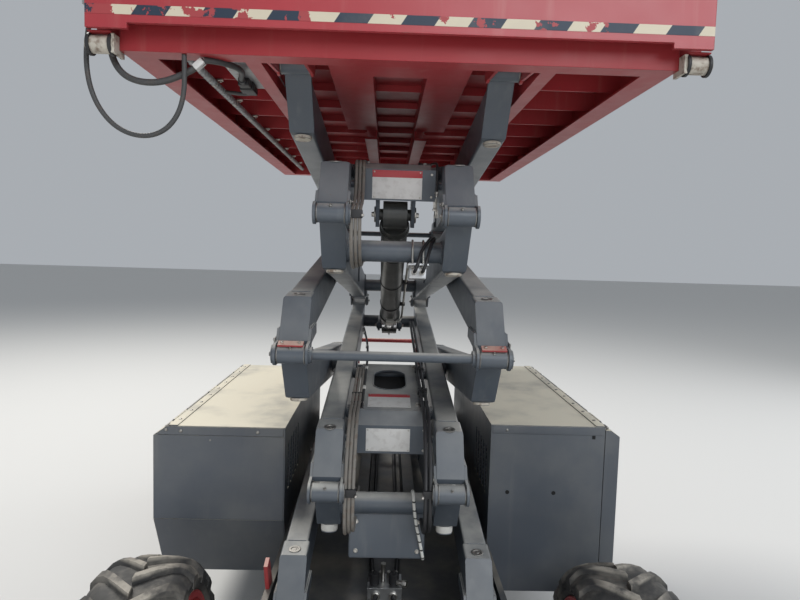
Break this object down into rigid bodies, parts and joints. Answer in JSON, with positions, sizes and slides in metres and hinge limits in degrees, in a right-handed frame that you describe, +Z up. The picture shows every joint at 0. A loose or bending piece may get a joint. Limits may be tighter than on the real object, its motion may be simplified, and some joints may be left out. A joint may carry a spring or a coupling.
{
  "type": "scissor lift",
  "caption": "Rough-terrain scissor lift with an extending platform deck, guard rails, side cabinets and steered lugged wheels.",
  "frame": {"origin": "on the ground under the middle of the machine", "axes": "+X towards the end where the deck rolls out, +Y to the machine's left, +Z up"},
  "size_m": [2.64, 1.752, 3.292],
  "materials": {
    "arm_grey": "satin enamel, dusty",
    "platform_red": "gloss enamel, faded",
    "chassis_dark": "satin enamel, dusty",
    "chassis_red": "gloss enamel, scuffed",
    "rim_red": "gloss enamel, scuffed",
    "cabinet_grey": "satin enamel, dusty",
    "cylinder_paint": "satin enamel",
    "rod_chrome": "polished",
    "deck_plate": "worn enamel on tread plate",
    "panel_red": "gloss enamel with a hazard stripe",
    "axle_black": "satin enamel",
    "engine_grey": "matte",
    "tank_black": "satin enamel",
    "valve_metal": "machined",
    "tyre_rubber": "matte",
    "box_plastic": "matte",
    "roller_white": "satin, dirty",
    "cable_black": "matte",
    "gland_grey": "matte"
  },
  "bodies": {
    "chassis": {"chassis_frame": "chassis_dark", "valve_block": "valve_metal", "safety_prop": "chassis_red", "ladder": "chassis_red", "cabinet_left": "cabinet_grey", "cabinet_right": "cabinet_grey", "engine_block": "engine_grey", "oil_tank": "tank_black", "front_axle": "axle_black", "rear_axle": "axle_black"},
    "door_left": {"door_left": "cabinet_grey"},
    "door_right": {"door_right": "cabinet_grey"},
    "knuckle_left": {"knuckle_left": "axle_black"},
    "knuckle_right": {"knuckle_right": "axle_black"},
    "wheel_front_left": {"tyre_front_left": "tyre_rubber", "rim_front_left": "rim_red"},
    "wheel_front_right": {"tyre_front_right": "tyre_rubber", "rim_front_right": "rim_red"},
    "wheel_rear_left": {"tyre_rear_left": "tyre_rubber", "rim_rear_left": "rim_red"},
    "wheel_rear_right": {"tyre_rear_right": "tyre_rubber", "rim_rear_right": "rim_red"},
    "outer_1": {"outer_arms_1": "arm_grey"},
    "inner_1": {"inner_arms_1": "arm_grey"},
    "outer_2": {"outer_arms_2": "arm_grey"},
    "inner_2": {"inner_arms_2": "arm_grey"},
    "outer_3": {"outer_arms_3": "arm_grey"},
    "inner_3": {"inner_arms_3": "arm_grey"},
    "outer_4": {"outer_arms_4": "arm_grey"},
    "inner_4": {"inner_arms_4": "arm_grey"},
    "lift_barrel": {"lift_barrel": "cylinder_paint"},
    "lift_rod": {"lift_rod": "rod_chrome"},
    "platform": {"platform_frame": "platform_red", "main_deck": "deck_plate", "guard_rails": "platform_red", "nose_rollers": "roller_white", "cable_a": "cable_black", "cable_b": "cable_black", "cable_glands": "gland_grey"},
    "gate": {"gate": "platform_red"},
    "extension": {"extension_deck": "deck_plate", "front_panel": "panel_red", "extension_rails": "platform_red", "control_box": "box_plastic"}
  },
  "joints": [
    {"name": "lift", "type": "hinge", "parent": "chassis", "child": "outer_1", "pos_m": [1.05, 0, 0.4965], "axis": [0, 1, 0], "range_deg": [-6.8, 50]},
    {"name": "centre_1", "type": "hinge", "parent": "outer_1", "child": "inner_1", "pos_m": [0.04488, 0, 0.6974], "axis": [0, 1, 0], "range_deg": [-100, 13.6]},
    {"name": "pivot_c", "type": "hinge", "parent": "inner_1", "child": "inner_2", "pos_m": [1.05, 0, 0.8983], "axis": [0, 1, 0], "range_deg": [-13.6, 100]},
    {"name": "centre_2", "type": "hinge", "parent": "inner_2", "child": "outer_2", "pos_m": [0.04488, 0, 1.0992], "axis": [0, 1, 0], "range_deg": [-100, 13.6]},
    {"name": "pivot_b", "type": "hinge", "parent": "outer_2", "child": "outer_3", "pos_m": [1.05, 0, 1.3001], "axis": [0, 1, 0], "range_deg": [-13.6, 100]},
    {"name": "centre_3", "type": "hinge", "parent": "outer_3", "child": "inner_3", "pos_m": [0.04488, 0, 1.501], "axis": [0, 1, 0], "range_deg": [-100, 13.6]},
    {"name": "pivot_a", "type": "hinge", "parent": "inner_3", "child": "inner_4", "pos_m": [1.05, 0, 1.7019], "axis": [0, 1, 0], "range_deg": [-13.6, 100]},
    {"name": "centre_4", "type": "hinge", "parent": "inner_4", "child": "outer_4", "pos_m": [0.04488, 0, 1.9028], "axis": [0, 1, 0], "range_deg": [-100, 13.6]},
    {"name": "platform_level", "type": "hinge", "parent": "outer_4", "child": "platform", "pos_m": [1.05, 0, 2.1037], "axis": [0, 1, 0], "range_deg": [-6.8, 50]},
    {"name": "cylinder_swing", "type": "hinge", "parent": "inner_2", "child": "lift_rod", "pos_m": [-0.67213, 0, 1.18504], "axis": [0, 1, 0], "range_deg": [-106.8, 14.6]},
    {"name": "cylinder_slide", "type": "slide", "parent": "lift_rod", "child": "lift_barrel", "axis": [0.9332, 0, 0.3595], "range_m": [-0.1265, 0.927]},
    {"name": "deck_slide", "type": "slide", "parent": "platform", "child": "extension", "axis": [1, 0, 0], "range_m": [0, 1.2]},
    {"name": "gate_swing", "type": "hinge", "parent": "platform", "child": "gate", "pos_m": [-1.15, 0.275, 2.7], "axis": [0, 0, 1], "range_deg": [0, 90]},
    {"name": "door_left_swing", "type": "hinge", "parent": "chassis", "child": "door_left", "pos_m": [0, 0.797, 0.98], "axis": [1, 0, 0], "range_deg": [0, 85]},
    {"name": "door_right_swing", "type": "hinge", "parent": "chassis", "child": "door_right", "pos_m": [0, -0.797, 0.95], "axis": [-1, 0, 0], "range_deg": [0, 85]},
    {"name": "steer_left", "type": "hinge", "parent": "chassis", "child": "knuckle_left", "pos_m": [1, 0.652, 0.32], "axis": [0, 0, 1], "range_deg": [-35, 35]},
    {"name": "steer_right", "type": "hinge", "parent": "chassis", "child": "knuckle_right", "pos_m": [1, -0.652, 0.32], "axis": [0, 0, 1], "range_deg": [-35, 35]},
    {"name": "wheel_front_left_spin", "type": "hinge", "parent": "knuckle_left", "child": "wheel_front_left", "pos_m": [1, 0.73, 0.32], "axis": [0, 1, 0], "continuous": true},
    {"name": "wheel_front_right_spin", "type": "hinge", "parent": "knuckle_right", "child": "wheel_front_right", "pos_m": [1, -0.73, 0.32], "axis": [0, 1, 0], "continuous": true},
    {"name": "wheel_rear_left_spin", "type": "hinge", "parent": "chassis", "child": "wheel_rear_left", "pos_m": [-1, 0.73, 0.32], "axis": [0, 1, 0], "continuous": true},
    {"name": "wheel_rear_right_spin", "type": "hinge", "parent": "chassis", "child": "wheel_rear_right", "pos_m": [-1, -0.73, 0.32], "axis": [0, 1, 0], "continuous": true}
  ],
  "couplings": [
    {"joint": "centre_1", "follows": "lift", "ratio": -2},
    {"joint": "pivot_c", "follows": "lift", "ratio": 2},
    {"joint": "centre_2", "follows": "lift", "ratio": -2},
    {"joint": "pivot_b", "follows": "lift", "ratio": 2},
    {"joint": "centre_3", "follows": "lift", "ratio": -2},
    {"joint": "pivot_a", "follows": "lift", "ratio": 2},
    {"joint": "centre_4", "follows": "lift", "ratio": -2},
    {"joint": "platform_level", "follows": "lift", "ratio": 1},
    {"joint": "cylinder_swing", "follows": "lift", "ratio": -2.1346},
    {"joint": "cylinder_slide", "follows": "lift", "m_per_rad": 1.0618},
    {"joint": "steer_right", "follows": "steer_left", "ratio": 1}
  ]
}
